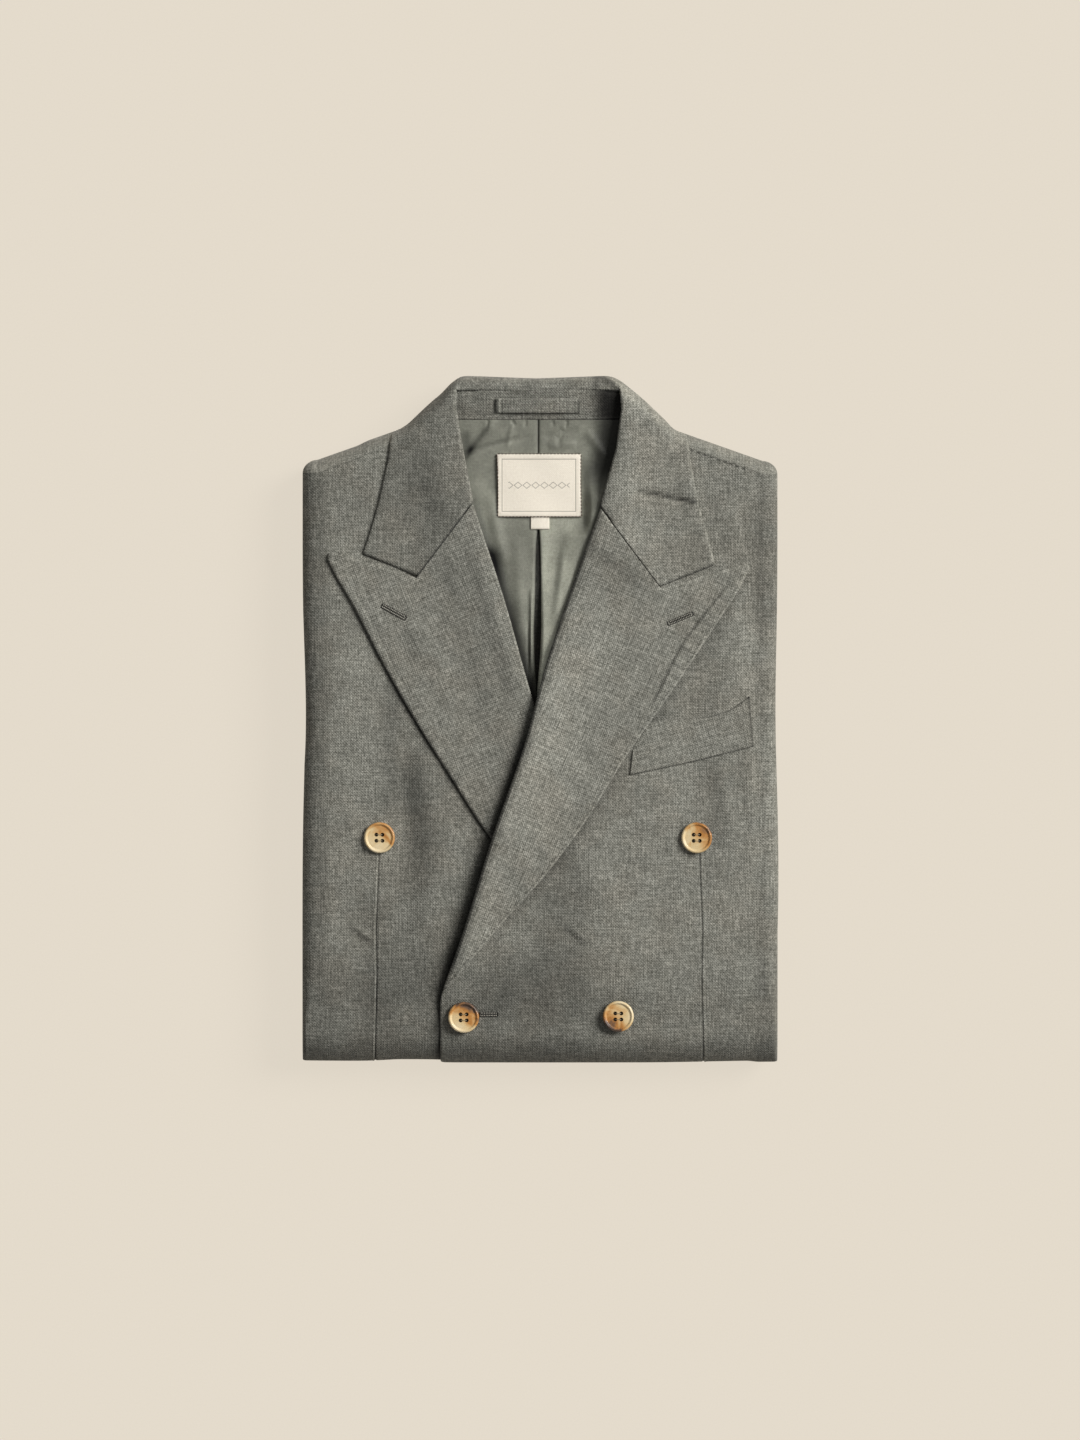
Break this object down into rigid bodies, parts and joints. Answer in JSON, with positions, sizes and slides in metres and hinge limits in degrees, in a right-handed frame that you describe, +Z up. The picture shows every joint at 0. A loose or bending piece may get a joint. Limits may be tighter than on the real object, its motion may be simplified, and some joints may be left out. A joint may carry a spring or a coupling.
{
  "type": "folded double-breasted blazer",
  "caption": "Double-breasted cloth blazer folded flat with its front up: peak lapels, wrapped fronts, breast welt, sew-through buttons and a neck opening with a hanger loop.",
  "frame": {"origin": "on the surface it lies on, under the middle of the folded blazer's box", "axes": "+X to the wearer's left, +Y towards the collar, +Z up out of the front"},
  "size_m": [0.3132, 0.4526, 0.0482],
  "materials": {
    "linen": "plain woven linen, olive grey",
    "lining": "smooth lining, olive grey",
    "woven_label": "woven tape, cream",
    "horn": "polished horn-like marbled amber"
  },
  "bodies": {
    "root": {"folded_layers": "linen", "front_right": "linen", "front_left": "linen", "back_right_shoulder": "linen", "back_left_shoulder": "linen", "lapel_right": "linen", "lapel_left": "linen", "collar": "linen", "collar_stand": "linen", "hanger_loop": "linen", "breast_welt": "linen", "lining_right": "lining", "lining_left": "lining", "label": "woven_label", "size_tab": "woven_label", "button_upper_right": "horn", "button_upper_left": "horn", "button_lower_right": "horn", "button_lower_left": "horn"}
  },
  "joints": []
}
